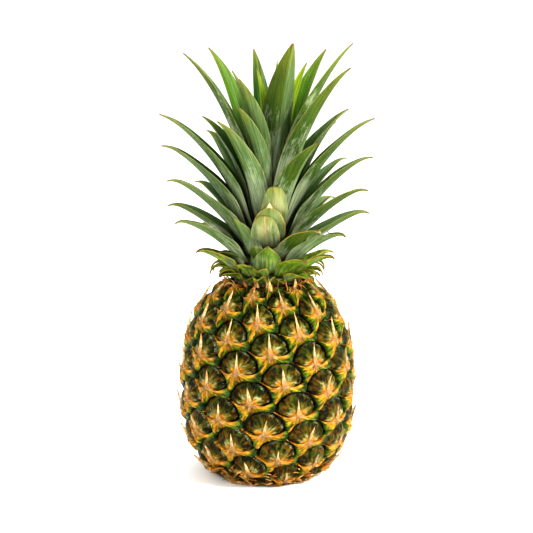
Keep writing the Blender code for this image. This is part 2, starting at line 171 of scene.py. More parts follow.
def layered(colour, *layers):
    # each layer is an amount and a colour that goes over the ones before
    for amount, above in layers:
        colour = blend(amount, colour, above)
    return colour


def speckle(place, scale, detail=3.0, rough=0.5, twist=0.0):
    if isinstance(scale, tuple):  # drawn out where the numbers are small
        place, scale = stretched(place, scale), 1.0
    values = {"Vector": place, "Scale": scale, "Detail": detail, "Roughness": rough, "Distortion": twist}
    return addNode("TexNoise", values).outputs["Fac"]


def stretched(place, scale):
    return addNode("VectorMath", {0: place, 1: scale}, operation="MULTIPLY").outputs[0]


def shifted(place, offset):
    return addNode("VectorMath", {0: place, 1: offset}, operation="ADD").outputs[0]


def readPlace(name):
    made = addNode("Attribute", {}, attribute_name=name)
    parts = addNode("SeparateXYZ", {0: made.outputs["Vector"]})
    return made.outputs["Vector"], parts.outputs[0], parts.outputs[1], parts.outputs[2]


def feedShader(values):
    shader = current["tree"].nodes["Principled BSDF"]
    for key, value in values.items():
        feed(shader.inputs[key], value)
    return current["material"]


def finishSurface(colour, rough, relief, depth, gloss=0.5):
    bump = addNode("Bump", {"Height": relief, "Distance": depth, "Strength": 1.0})
    return feedShader({"Base Color": colour, "Roughness": rough, "Specular IOR Level": gloss,
                       "Normal": bump.outputs["Normal"]})


# meshes from arrays, with the point values that the materials read

def addPiece(name, points, faces, material, values, replaced):
    # points and values come in one array or in several
    mesh = bpy.data.meshes.new(name)
    mesh.from_pydata(np.concatenate(points).reshape(-1, 3).tolist(), [], faces)
    for key, numbers in values.items():
        layer = mesh.attributes.new(key, "FLOAT_VECTOR", "POINT")
        layer.data.foreach_set("vector", np.concatenate(numbers).astype(np.float32).ravel())
    mesh.materials.append(material)
    mesh.shade_smooth()
    mesh.validate()
    piece = bpy.data.objects.new(name, mesh)
    scene.collection.objects.link(piece)
    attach(piece, "root")
    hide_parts(*replaced)


def smoothStep(x):
    x = np.clip(x, 0.0, 1.0)
    return x * x * (3.0 - 2.0 * x)


def between(first, second, share):
    return first + (second - first) * share


def grid(rows, columns):
    # every row with every column, as two flat arrays
    return np.repeat(rows, len(columns)), np.tile(columns, len(rows))


def allRound(count):
    return np.linspace(0.0, 2.0 * math.pi, count, endpoint=False)


def wobble(points, seed):
    shift = seed * 7.31
    return np.array([noise.noise(Vector((x + shift, y - shift, z + 2.0 * shift))) for x, y, z in points])


def ringFaces(start, rows, ring):
    # faces between closed rings of points, one ring after another
    faces = []
    for row in range(rows - 1):
        for place in range(ring):
            a = start + row * ring + place
            b = start + row * ring + (place + 1) % ring
            faces.append((a, b, b + ring, a + ring))
    return faces


# the fruit's outline and its spiral of fruitlets, in millimetres, as in the solids
fruit = {
    "radius": 62.6,
    "waist": 62.5,
    "lowerReach": 73.5,
    "lowerPower": 2.3,
    "upperReach": 84.0,
    "upperPower": 2.5,
    "neckRadius": 27.5,
    "endFade": 7.0,
    "footRise": 0.6,  # most that the skin bulges under the flat spot
    "firstAzimuth": 11.0,
    "divergence": 137.755,  # degrees from one fruitlet to the next
    "firstArc": 18.7,
    "arcStep": 1.665,  # up the skin from one to the next
    "lowest": -72,
    "highest": 62,
    "seed": 5,
}


def outlineRadius(height):
    above = height >= fruit["waist"]
    reach = fruit["upperReach"] if above else fruit["lowerReach"]
    power = fruit["upperPower"] if above else fruit["lowerPower"]
    share = min(abs(height - fruit["waist"]) / reach, 1.0)
    return fruit["radius"] * (1.0 - share**power) ** (1.0 / power)


neckShare = 1.0 - (fruit["neckRadius"] / fruit["radius"]) ** fruit["upperPower"]
neckHeight = fruit["waist"] + fruit["upperReach"] * neckShare ** (1.0 / fruit["upperPower"])
heightTable = np.linspace(0.0, neckHeight, 1500)
radiusTable = np.array([outlineRadius(height) for height in heightTable])
arcTable = np.concatenate(([0.0], np.cumsum(np.hypot(np.diff(heightTable), np.diff(radiusTable)))))
arcTable -= np.interp(fruit["waist"], heightTable, arcTable)
riseTable = np.gradient(heightTable, arcTable)
spreadTable = np.gradient(radiusTable, arcTable)
footArc = float(arcTable[0])
neckArc = float(arcTable[-1])


def onSkin(azimuth, arc, lift):
    inside = np.clip(arc, footArc, neckArc)
    fade = smoothStep(np.minimum(inside - footArc, neckArc - inside) / fruit["endFade"])
    lift = np.where(lift < 0.0, lift * fade, lift)
    radius = np.interp(inside, arcTable, radiusTable) + lift * np.interp(inside, arcTable, riseTable)
    height = np.interp(inside, arcTable, heightTable) - lift * np.interp(inside, arcTable, spreadTable)
    radius = np.where(arc < footArc, np.maximum(radiusTable[0] - (footArc - arc), 0.0), radius)
    height = np.where(arc < footArc, np.clip(lift, 0.0, fruit["footRise"]), np.maximum(height, 0.0))
    radius = np.where(arc > neckArc, np.maximum(fruit["neckRadius"] - (arc - neckArc), 0.0), radius)
    height = np.where(arc > neckArc, neckHeight, height)
    return np.stack((radius * np.sin(azimuth), -radius * np.cos(azimuth), height), axis=-1) * mm


def fruitletPlaces(numbers, reach):
    # the fruitlets of these numbers that reach up above the flat spot
    chance = random.Random(fruit["seed"])
    for number in range(fruit["lowest"], fruit["highest"] + 1):
        azimuth = math.radians(fruit["firstAzimuth"] + fruit["divergence"] * number)
        arc = fruit["firstArc"] + fruit["arcStep"] * number
        draws = [chance.uniform(-1.0, 1.0) for _ in range(8)]
        if number in numbers and arc + reach >= footArc:
            yield number, azimuth, arc, draws


def kindOf(arc, chance, last):
    # place on the fruit, lot of its own and one value more, for every point of an eye or bract
    age = (arc - footArc) / (neckArc - footArc)
    return np.column_stack((np.full_like(last, age), np.full_like(last, 0.5 + 0.5 * chance[3]), last))


def curveThrough(stops, steps):
    # smooth curve through given points
    stops = np.array(stops, dtype=float)
    padded = np.concatenate((2 * stops[:1] - stops[1:2], stops, 2 * stops[-1:] - stops[-2:-1]))
    result = []
    for step in np.linspace(0.0, len(stops) - 1.000001, steps):
        low = int(step)
        t = step - low
        a, b, c, d = padded[low:low + 4]
        result.append(0.5 * (2 * b + (c - a) * t + (2 * a - 5 * b + 4 * c - d) * t * t
                             + (3 * b - a - 3 * c + d) * t**3))
    return np.array(result)


# one glossy domed eye, as rings around its middle
eye = {
    "reachUp": 15.0,
    "middle": (-0.5, 1.7),
    "halfWidth": 14.9,
    "upperReach": 12.5,
    "lowerReach": 6.0,
    "squareness": 1.9,
    "peak": 0.10,  # how far the top is drawn up to a blunt point
    "peakWidth": 0.45,
    "rimPower": 3.0,
    "rimLift": -5.0,
    "domeHeight": 5.5,
    "cheeks": (5.2, 3.0, 0.6),  # across, along, height
    "cheekSize": (3.0, 3.2),
    "furrow": 0.6,
    "furrowWidth": 1.6,
    "foldScale": (3.2, 3.2, 1.1),
    "fineScale": (2.9, 2.9, 1.6),
    "edgeWave": 0.06,
    "edgeNotches": 0.025,
    "folds": 0.9,
    "wrinkles": 0.3,
    "crinkles": 0.4,
    "rings": 15,
    "spokes": 52,
}


def eyeGrid():
    rings = 1.0 - (1.0 - np.linspace(0.0, 1.0, eye["rings"] + 1)[1:]) ** 1.35
    share, turn = grid(rings, allRound(eye["spokes"]))
    return np.append(0.0, share), np.append(0.0, turn)


def eyeFaces(start):
    spokes = eye["spokes"]
    faces = []
    for spoke in range(spokes):
        after = (spoke + 1) % spokes
        faces.append((start, start + 1 + spoke, start + 1 + after))
        for ring in range(eye["rings"] - 1):
            low = start + 1 + ring * spokes
            faces.append((low + spoke, low + spokes + spoke, low + spokes + after, low + after))
    return faces


def buildEyes(name, numbers, material):
    share, turn = eyeGrid()
    up = np.sin(turn) > 0.0
    reach = np.where(up, eye["upperReach"], eye["lowerReach"])
    power = eye["squareness"]
    square = (np.abs(np.cos(turn)) ** power + np.abs(np.sin(turn)) ** power) ** (1.0 / power)
    peak = eye["peak"] * np.exp(-(np.cos(turn) / eye["peakWidth"]) ** 2) * up * share**2
    ring = np.stack((np.cos(turn), np.sin(turn), share), axis=-1) * eye["foldScale"]
    crinkleShare = eye["wrinkles"] * smoothStep(share * 1.6 - 0.3)
    crinkleShare = crinkleShare + eye["crinkles"] * smoothStep((share - 0.62) * 4.0)
    side, rise, tall = eye["cheeks"]
    sideSize, riseSize = eye["cheekSize"]
    points, faces, local, kind = [], [], [], []
    for number, azimuth, arc, chance in fruitletPlaces(numbers, eye["reachUp"]):
        size = 1.0 + 0.03 * chance[0]
        fold = wobble(ring * (share[:, None] * 0.6 + 0.4), number)
        fine = wobble(ring * eye["fineScale"], number + 400)
        edge = 1.0 + eye["edgeWave"] * wobble(ring * 0.9, number + 90) * share
        edge = edge + eye["edgeNotches"] * fine * share**4
        edge = edge / square + peak
        across = eye["middle"][0] + np.cos(turn) * share * eye["halfWidth"] * size * edge
        along = eye["middle"][1] + np.sin(turn) * share * reach * size * edge
        lift = eye["rimLift"] + eye["domeHeight"] * np.sqrt(np.maximum(1.0 - share ** eye["rimPower"], 0.0))
        lift += tall * np.exp(-((np.abs(across) - side) / sideSize) ** 2 - ((along - rise) / riseSize) ** 2)
        lift -= eye["furrow"] * np.exp(-(across / eye["furrowWidth"]) ** 2) * smoothStep(along / 4.0)
        lift += eye["folds"] * fold * share * (1.2 - share) * 2.4
        lift += fine * crinkleShare
        lift += 0.35 * chance[1]
        lean = across + 0.35 * chance[2]
        place = onSkin(azimuth + lean / fruit["radius"], arc + along, lift)
        faces += eyeFaces(sum(len(part) for part in points))
        points.append(place)
        local.append(np.stack((across, along, share), axis=-1))
        kind.append(kindOf(arc, chance, fold))
    addPiece(name, points, faces, material, {"local": local, "kind": kind}, ["fruit"])


# one bract: a sheet with wings, a skirt between the eyes under it, and a tip drawn out into a spike
bract = {
    "reachUp": 3.0,
    "spikeLength": 12.0,
    "topSpikeGrowth": 3.0,
    "topSpikeArc": 84.0,
    "spikeLift": 3.9,
    "spikeCurl": 1.9,
    "standingShare": 0.3,
    "endRoom": 1.5,
    "shortest": 2.5,
    "footRoom": 7.5,
    "lip": 0.95,
    "lipBend": 0.0078,
    "jags": 0.45,
    "lines": 0.4,
    "bulge": 1.5,
    "skirtLift": -1.1,
    "edgeDrop": 3.0,
    "edgeFrom": 0.82,
    "thickness": 0.75,
    "columns": 57,
    "rows": 15,
    "spikeHalf": 3.4,  # the spike's part of the upper edge, either side of the middle
    "footBelow": 1.5,  # the ribs fan out from this far below the middle
    "tinyTip": (2.2, 0.4),  # length and extra lift where there is no room for a spike
    "ribs": ((-117.0, 6.0, 1.3), (-90.0, 5.0, 0.8), (-64.0, 5.5, 1.1), (-24.0, 7.0, 0.9), (203.0, 7.0, 0.9)),
}
# half of the upper edge from the wing's point to the spike's, as across and along; then spike shares
wingEdge = ((17.6, 1.2), (14.4, -0.6), (10.8, -2.0), (7.2, -2.6), (4.2, -2.0), (2.1, -0.1))
spikeEdge = ((1.08, 0.15), (0.52, 0.38), (0.25, 0.70), (0.05, 1.0))
skirtEdge = (
    (-17.6, 0.9), (-14.6, -0.5), (-11.8, -2.9), (-9.6, -6.2), (-8.8, -9.8), (-8.9, -13.0), (-7.4, -15.3),
    (-5.2, -15.2), (-3.2, -12.6), (-0.6, -10.1), (2.8, -8.4), (6.6, -7.5), (10.4, -7.3), (13.8, -7.7),
    (16.5, -8.0), (17.8, -6.0), (18.0, -2.6), (17.6, 0.9),
)


def spikeShape(arc, chance):
    wanted = bract["spikeLength"] * (1.0 + 0.13 * chance[4])
    wanted += bract["topSpikeGrowth"] * float(smoothStep(arc / bract["topSpikeArc"]))
    length = min(wanted, neckArc - bract["endRoom"] - arc)
    if length < bract["shortest"] or arc < footArc + bract["footRoom"]:
        return bract["tinyTip"][0], bract["lip"] + bract["tinyTip"][1]
    return length, bract["spikeLift"] + bract["standingShare"] * (wanted - length) + 0.5 * chance[5]


def bractGrid(length, chance):
    half = (bract["columns"] + 1) // 2
    upper = list(wingEdge) + [(x, share * length) for x, share in spikeEdge]
    right = curveThrough(upper, half)
    left = right[::-1][1:] * np.array((-1.0, 1.0))
    top = np.concatenate((right, left))[::-1]
    bend = 2.0 * chance[6]
    top[:, 0] += bend * smoothStep(top[:, 1] / length) * np.maximum(top[:, 1] / length, 0.0)
    bottom = curveThrough(skirtEdge, 4 * bract["columns"])
    spots = np.linspace(0.0, 1.0, bract["columns"])
    spots = spots + 0.055 * np.sin(2.0 * math.pi * spots)
    bottom = bottom[np.round(spots * (len(bottom) - 1)).astype(int)]
    return top, bottom


def bractSheet(number, length, tipLift, chance):
    # the outer side of the sheet as across, along and lift, row by row down from the upper edge
    columns = bract["columns"]
    top, bottom = bractGrid(length, chance)
    jagPlace = np.stack((np.linspace(0, 9, columns), np.zeros(columns), np.zeros(columns)), axis=-1)
    top[:, 1] += bract["jags"] * wobble(jagPlace, number) * (np.abs(top[:, 0]) > 2.5)
    shares = np.linspace(0.0, 1.0, bract["rows"]) ** 1.15
    down, column = grid(shares, np.arange(columns))
    across, along = between(top[column], bottom[column], down[:, None]).T
    spikeShare = np.clip((along + 0.5) / (length + 0.5), 0.0, 1.0) * (np.abs(across) < bract["spikeHalf"])
    lip = bract["lip"] - bract["lipBend"] * across**2
    bulge = np.sin(math.pi * np.minimum(down * 1.05, 1.0)) * np.exp(-((across + 1.0) / 6.5) ** 2)
    lift = between(lip, bract["skirtLift"], smoothStep(down)) + bract["bulge"] * bulge
    lift = np.maximum(lift, lip * 0.6 - 1.0) * (1.0 - spikeShare) + spikeShare * lift
    lift += (tipLift - bract["lip"]) * spikeShare ** bract["spikeCurl"]
    away = np.hypot(across, along + bract["footBelow"])
    angle = np.degrees(np.arctan2(along + bract["footBelow"], across))
    ribFade = smoothStep(away / 3.0) * smoothStep((15.0 - away) / 9.0)
    for ribTurn, ribWidth, ribHeight in bract["ribs"]:
        off = (angle - ribTurn - 7.0 * chance[7] + 180.0) % 360.0 - 180.0
        lift += ribHeight * np.exp(-(off / ribWidth) ** 2) * ribFade
    lines = wobble(np.stack((angle * 0.11, away * 0.12, np.zeros_like(away)), axis=-1), number + 150)
    lift += bract["lines"] * lines * smoothStep(away / 3.0)
    lift -= bract["edgeDrop"] * smoothStep((down - bract["edgeFrom"]) / 0.18) ** 1.6
    lift += 0.3 * chance[1]
    return top, np.stack((across, along, lift), axis=-1), down, spikeShare


def turnedUnder(top, outer, length):
    # two rows more along the upper edge give the sheet its thickness
    columns = bract["columns"]
    lip, inner = outer[:columns, :2], outer[columns:2 * columns, :2]
    onSpike = (lip[:, 1] > -1.0) & (np.abs(lip[:, 0]) < bract["spikeHalf"])
    axis = np.interp(lip[:, 1], (0.0, length), (0.1, top[columns // 2, 0]))
    fold = np.where(onSpike[:, None], np.stack((axis, lip[:, 1]), axis=-1), between(lip, inner, 1.6))
    thinner = 0.45 + 0.55 * smoothStep((length - lip[:, 1]) / 6.0)
    edgeLift = outer[:columns, 2] - bract["thickness"] * thinner
    foldLift = np.where(onSpike, edgeLift - 0.35, edgeLift - 2.6)
    return np.concatenate((np.column_stack((fold, foldLift)), np.column_stack((lip, edgeLift)), outer))


def buildBracts(name, numbers, material):
    points, faces, local, kind = [], [], [], []
    columns = bract["columns"]
    start = 0
    for number, azimuth, arc, chance in fruitletPlaces(numbers, bract["reachUp"]):
        length, tipLift = spikeShape(arc, chance)
        top, outer, down, spikeShare = bractSheet(number, length, tipLift, chance)
        sheet = turnedUnder(top, outer, length)
        downs = np.concatenate((np.full(columns, -0.2), np.full(columns, -0.1), down))
        for row in range(bract["rows"] + 1):
            for place in range(columns - 1):
                a = start + row * columns + place
                faces.append((a, a + columns, a + columns + 1, a + 1))
        start += len(sheet)
        points.append(onSkin(azimuth + sheet[:, 0] / fruit["radius"], arc + sheet[:, 1], sheet[:, 2]))
        local.append(np.column_stack((sheet[:, :2], downs)))
        upper = spikeShare[:columns]
        kind.append(kindOf(arc, chance, np.concatenate((upper, upper, spikeShare))))
    addPiece(name, points, faces, material, {"local": local, "kind": kind}, ["fruit"])


# the skin deep between the eyes, painted near black as shade
groove = {
    "sides": 120,
    "rings": 80,
    "depth": 5.3,
    "grain": 0.35,
}


def buildGroundwork(material):
    sides = groove["sides"]
    arcs = np.concatenate((np.linspace(footArc - radiusTable[0], footArc, 12)[:-1],
                           np.linspace(footArc, neckArc, groove["rings"]),
                           np.linspace(neckArc, neckArc + fruit["neckRadius"], 8)[1:]))
    arc, turn = grid(arcs, allRound(sides))
    grain = wobble(np.stack((np.cos(turn) * 14, np.sin(turn) * 14, arc * 0.35), axis=-1), 3)
    points = onSkin(turn, arc, groove["grain"] * grain - groove["depth"])
    local = np.stack((turn, arc, grain), axis=-1)
    faces = ringFaces(0, len(arcs), sides)
    addPiece("groove_skin", points, faces, material, {"local": local}, ["fruit"])


def aroundFoot(across, along):
    # angle and distance from the foot of the spike
    low = plus(along, bract["footBelow"])
    angle = calc("ARCTAN2", low, across)
    away = calc("SQRT", plus(times(low, low), times(across, across)))
    return angle, away


def eyeMaterial():
    newMaterial("eye_skin")
    place, across, along, share = readPlace("local")
    _, age, lot, fold = readPlace("kind")
    angle, away = aroundFoot(across, along)
    turned = joined(times(angle, 2.2), times(away, 0.10), times(lot, 20.0))
    rays = remap(speckle(turned, 1.9, 4.0, 0.55, 0.3), 0.33, 0.67)
    own = shifted(place, turned)
    mottle = speckle(own, (0.16, 0.16, 0.6), 4.0, 0.6, 0.5)
    toneAndSheen = speckle(stretched(own, (0.11, 0.20, 0.5)), 1.7, 3.0, 0.55, 0.3)
    fine = speckle(place, (1.9, 1.9, 2.0), 2.0, 0.5)
    deep = remap(speckle(turned, 1.1, 2.0, 0.5, 0.6), 0.42, 0.56)
    green = blend(rays, (0.003, 0.006, 0.0005), (0.075, 0.098, 0.006))
    brown = blend(rays, (0.010, 0.005, 0.0005), (0.165, 0.085, 0.003))
    lobes = plus(mottle, times(calc("ABSOLUTE", across), 0.010))
    lobes = minus(lobes, times(age, 0.14))
    # olive in the middle of the dome, painted highlight patches of greyish green beside the spike, yellow
    # and orange at its foot
    olive = blend(toneAndSheen, (0.30, 0.15, 0.003), (0.12, 0.17, 0.008))
    pale = blend(rays, (0.18, 0.22, 0.07), (0.43, 0.47, 0.26))
    warm = blend(toneAndSheen, (0.85, 0.50, 0.06), (0.66, 0.22, 0.012))
    warm = blend(rays, blend(lot, (0.44, 0.20, 0.010), (0.36, 0.11, 0.008)), warm)
    reach = plus(nudged(nudged(away, rays, -1.8), mottle, -8.0), deep)
    reachUp = minus(reach, times(calc("ABSOLUTE", calc("COSINE", angle)), 2.4))
    # painted highlight: pale specks on the thin crinkled rim, stronger on the right where the key lamp is;
    # painted shade: black at the dome's edge under it
    rim = times(remap(share, 0.82, 0.89), remap(share, 0.985, 0.95))
    rimHighlight = remap(plus(times(fine, 1.2), times(fold, 0.3)), 0.62, 0.74)
    keyLampSide = remap(across, -6.0, 5.0, 0.15, 0.85)
    colour = layered(
        green,
        (remap(lobes, 0.42, 0.58), brown),
        (times(deep, 0.55), (0.008, 0.008, 0.001)),
        (times(remap(reach, 12.0, 6.5), 0.7), olive),
        # painted highlight: greyish green patches beside the spike, where the lamps glint on the dome
        (times(remap(reachUp, 8.0, 4.8), remap(toneAndSheen, 0.40, 0.58, 0.1, 0.9)), pale),
        (times(remap(reachUp, 5.4, 2.6), 0.92), warm),
        # painted highlight: pale specks along the rim, stronger towards the key lamp on the right
        (times(rim, times(rimHighlight, keyLampSide)), (0.42, 0.45, 0.30)),
        # painted shade: near black at the dome's edge, down in the groove
        (remap(share, 0.965, 0.995), (0.004, 0.003, 0.001)),
    )
    relief = plus(rays, times(fine, 0.8))
    return finishSurface(colour, remap(rays, 0.3, 0.7, 0.18, 0.34), relief, 0.0010, 0.13)


def bractMaterial():
    newMaterial("bract_skin")
    place, across, along, down = readPlace("local")
    _, age, lot, spike = readPlace("kind")
    wide = calc("ABSOLUTE", plus(across, 0.6))
    angle, away = aroundFoot(across, along)
    fan = joined(times(angle, 5.0), times(away, 0.14), times(lot, 9.0))
    lines = remap(speckle(fan, 1.6, 5.0, 0.62, 0.2), 0.34, 0.66)
    patch = speckle(place, (0.14, 0.14, 0.5), 4.0, 0.6, 0.4)
    dark = blend(lines, (0.006, 0.022, 0.001), (0.050, 0.10, 0.006))
    green = blend(lines, (0.030, 0.070, 0.002), (0.22, 0.29, 0.014))
    yellow = blend(lines, (0.24, 0.165, 0.003), (0.84, 0.58, 0.04))
    orange = blend(lines, (0.52, 0.15, 0.004), (0.92, 0.47, 0.05))
    fineLines = remap(speckle(fan, 4.6, 5.0, 0.65, 0.2), 0.34, 0.64)
    streak = remap(speckle(fan, 2.6, 3.0, 0.5, 0.2), 0.40, 0.60)
    tan = blend(streak, (0.72, 0.22, 0.03), (1.0, 0.80, 0.42))
    pale = blend(streak, (0.78, 0.40, 0.14), (1.0, 0.80, 0.46))
    # yellow round the foot, green further out and dark green at the hem; the ribs stay yellow longest
    reach = plus(times(away, 0.070), times(down, 0.50))
    reach = nudged(nudged(nudged(reach, patch, 0.55), lines, -0.35), age, 0.3)
    reach = plus(reach, remap(across, 3.0, 13.0, 0.0, 0.1))
    for turn, width, amount in ((2.0, 0.24, 0.25), (1.35, 0.2, 0.2), (0.45, 0.16, 0.2)):
        off = calc("ABSOLUTE", plus(angle, turn))
        reach = minus(reach, remap(off, width, 0.3 * width, 0.0, amount))
    lip = times(remap(down, 0.50, 0.12), remap(across, 15.5, 10.5), remap(patch, 0.25, 0.6, 0.75, 1.0))
    # painted highlight: a light line along the upper edge either side of the spike's foot
    lipHighlight = times(remap(down, 0.08, 0.02), remap(wide, 8.5, 4.5), 0.7)
    # one thin orange rib down to the lowest corner
    rib = times(calc("ABSOLUTE", plus(angle, 2.06)), away)
    rib = times(remap(rib, 1.2, 0.4), remap(away, 2.0, 5.0), 0.85)
    # the foot of the spike spreads into a pale star with rusty streaks under it
    arms = calc("COSINE", plus(times(angle, 5.0), 1.6))
    star = minus(away, times(fineLines, 3.6), times(arms, 1.3))
    streakTurn = calc("ABSOLUTE", plus(angle, 1.22))
    streakReach = times(remap(away, 1.4, 3.0), remap(away, 12.0, 8.0))
    rust = remap(speckle(fan, 3.4, 4.0, 0.6, 0.3), 0.46, 0.55)
    colour = layered(
        yellow,
        (remap(reach, 0.62, 0.98), green),
        (remap(reach, 1.08, 1.5), dark),
        (lip, orange),
        (rib, orange),
        (times(remap(star, 2.6, 0.4), 0.95), tan),
        # painted highlight along the upper edge
        (lipHighlight, (0.92, 0.52, 0.12)),
        (times(remap(streakTurn, 0.65, 0.2), rust, streakReach, 0.85), (0.34, 0.075, 0.02)),
        (remap(spike, 0.06, 0.26), pale),
        (remap(spike, 0.80, 1.0), (0.36, 0.17, 0.06)),
        # painted shade: near black along the hem, where the sheet turns down into the groove
        (remap(plus(down, times(lines, 0.03)), 0.965, 1.03), (0.012, 0.012, 0.003)),
    )
    relief = plus(lines, times(fineLines, 0.5))
    return finishSurface(colour, remap(lines, 0.3, 0.7, 0.45, 0.28), relief, 0.0009, 0.24)


def grooveMaterial():
    newMaterial("groove_skin")
    place, _, arc, grain = readPlace("local")
    rough = remap(grain, -0.4, 0.4)
    colour = layered(
        # painted shade: near black down in the grooves between the eyes
        blend(rough, (0.006, 0.005, 0.002), (0.03, 0.022, 0.006)),
        (remap(arc, footArc + 1.5, footArc - 2.0), blend(rough, (0.20, 0.11, 0.04), (0.48, 0.33, 0.16))),
        (remap(arc, neckArc - 7.0, neckArc - 2.0),
         blend(remap(grain, -0.3, 0.3), (0.05, 0.025, 0.006), (0.26, 0.14, 0.03))),
    )
    speck = speckle(place, (40.0, 0.6, 1.0), 4.0, 0.6)
    return finishSurface(colour, remap(speck, 0.3, 0.7, 0.6, 0.85), speck, 0.0005)


# the crown: how a leaf leaves the stem by its rank, 0 the lowest, 1 the innermost
crown = {
    "seed": 900,
    "lean": 0.025,  # to the right, for each millimetre of height
    "wrapLimit": 46.0,  # degrees that half a leaf may wrap round the stem
    "ribThickness": 1.3,
    "edgeThickness": 0.35,
    "widestAt": 0.3,
    "rootWidth": 0.84,
    "channel": 0.24,
    "opensBy": 0.35,  # share of the length by which the channel is fully open
    "keelSoftness": 0.0016,
    "upright": (0.78, 0.2, -0.3),  # shares of root angle, bend and hook in leaves that stand up
    "hooked": (30.0, 150.0, 20.0),  # the same three in degrees, in hooked ones
    "bluntness": 1.7,
    "budFrom": 2.3,  # leaves blunter than this close over like buds
    "roundFrom": 3.0,
    "budRound": (0.42, 0.6, 2.3),  # widest place, reach and fullness of a round bud
    "budShoulders": (0.8, 0.12),  # where the others narrow to a dry point
    "budTurns": (42.0, 33.0, -30.0),  # root, middle and tip angle from upright
    "budSpread": 150.0,
    "budMiddle": 0.545,
    "broadest": 55,  # number of the leaf that opens wide in front
    "broadRadius": 26.0,
    "broadGrowth": 1.5,
    "broadTwist": 26.0,
    "tipWidth": 0.03,
    "youngFrom": 0.93,  # leaves of this rank and above are the young ones
    "stations": 46,
    "across": 13,
    "stemInset": 1.4,
    "stemGap": 0.3,
    "stemCap": 5.0,
}
# rank, root height, root radius, start angle from upright, bend, hook at the tip
crownRule = np.array((
    (-0.15, 144.1, 25, 62, 50, 70),
    (0, 145.3, 23.4, 54, 40, 60),
    (0.12, 148.7, 21.6, 49, 30, 60),
    (0.25, 154.7, 19, 48, 28, 50),
    (0.38, 162, 16.8, 44, 28, 45),
    (0.5, 169.5, 14.5, 33, 30, 35),
    (0.62, 176.5, 12, 26, 36, 12),
    (0.75, 185.5, 9.5, 19, 32, 8),
    (0.88, 196.5, 6.5, 10, 26, 5),
    (1, 208.5, 3.6, 3, 14, 3),
))
# azimuth, rank, length, width of each leaf, from the neck up
leafTable = (
    (-126, 0.08, 24, 18), (-11, 0.085, 20, 12), (64, 0.09, 35, 16), (101, 0.095, 31, 16),
    (173, 0.095, 29, 18), (-80, 0.115, 36, 21), (-37, 0.12, 21, 14), (34, 0.125, 30, 20),
    (137, 0.135, 30, 18), (-154, 0.15, 31, 20), (-1, 0.17, 30, 23), (123, 0.225, 40, 16),
    (-73, 0.235, 21, 16), (-122, 0.245, 49, 22), (55, 0.245, 55, 23), (173, 0.245, 52, 21),
    (-18, 0.28, 21, 16), (-69, 0.29, 63, 21), (94, 0.3, 66, 24), (-154, 0.31, 63, 22),
    (39, 0.335, 48, 22), (-96, 0.34, 69, 23), (136, 0.36, 65, 23), (-43, 0.395, 35, 21),
    (-131, 0.415, 74, 23), (64, 0.43, 79, 21), (-77, 0.455, 80, 23), (167, 0.46, 85, 23),
    (-6, 0.495, 30, 21), (127, 0.505, 82, 19), (88, 0.53, 87, 23), (0, 0.545, 35, 25),
    (-89, 0.545, 96, 24), (-141, 0.575, 97, 25), (9, 0.6, 42, 20), (139, 0.62, 99, 24),
    (-90, 0.635, 111, 23), (87, 0.655, 104, 23), (181, 0.675, 112, 23), (36, 0.695, 81, 24),
    (-122, 0.715, 91, 23), (109, 0.74, 95, 25), (-44, 0.755, 89, 24), (-140, 0.775, 137, 22),
    (52, 0.785, 126, 24), (-93, 0.81, 129, 23), (141, 0.815, 128, 23), (-36, 0.845, 84, 24),
    (83, 0.85, 130, 24), (-164, 0.855, 121, 20), (-38, 0.89, 98, 24), (139, 0.9, 104, 18),
    (-103, 0.93, 95, 18), (172, 0.965, 96, 9), (38, 0.985, 108, 25), (-136, 1, 86, 14),
)
tipShapes = {11: 1.1, 29: 4, 32: 2.6, 35: 4}  # bluntness, where it differs
# leaves still young and bright, by their number in the table; below zero, dry at the tip and edges
freshLeaves = {3: 0.3, 4: 0.3, 8: 0.6, 11: 0.25, 12: 0.2, 21: -0.6, 32: -1.0, 44: 0.35, 47: 0.4, 49: 0.1,
               52: 1.0, 53: 0.2, 54: 0.85, 56: 0.95}
budColours = {29: 1.0, 32: 0.35, 35: 0.75}
uprightLeaves = (11, 17, 24)


def crownValue(rank, column):
    return float(np.interp(rank, crownRule[:, 0], crownRule[:, column]))


def leafSpine(rank, length, bluntness, pose, steps=120):
    share = np.arange(steps + 1) / steps
    turns = [crownValue(rank, column) for column in (3, 4, 5)]
    if pose == "upright":
        turns = [part * turn for part, turn in zip(crown["upright"], turns)]
    start, bend, hook = crown["hooked"] if pose == "hooked" else turns
    angle = np.radians(start + bend * share**1.7 + hook * np.maximum(0.0, (share - 0.8) / 0.2) ** 2)
    if bluntness > crown["budFrom"]:
        angle = np.interp(share, (0.0, 0.55, 1.0), crown["budTurns"])
        angle = np.radians(angle + crown["budSpread"] * (crown["budMiddle"] - rank))
    radius = crownValue(rank, 2) + np.append(0.0, np.cumsum(np.sin(angle[:-1]))) * length / steps
    height = crownValue(rank, 1) + np.append(0.0, np.cumsum(np.cos(angle[:-1]))) * length / steps
    return share, radius, height, angle


def leafWidth(share, bluntness):
    widestAt = crown["widestAt"]
    low = between(crown["rootWidth"], 1.0, np.sin(0.5 * math.pi * share / widestAt))
    tail = np.clip((share - widestAt) / (1.0 - widestAt), 0.0, 1.0)
    high = between(crown["tipWidth"], 1.0, 1.0 - tail**bluntness)
    if bluntness > crown["roundFrom"]:
        widest, reach, fullness = crown["budRound"]
        return np.sqrt(np.maximum(1.0 - (np.abs(share - widest) / reach) ** fullness, 0.01))
    if bluntness > crown["budFrom"]:
        shoulder, run = crown["budShoulders"]
        high = high * (1.0 - 0.5 * smoothStep((share - shoulder) / run))
    return np.where(share < widestAt, low, high)


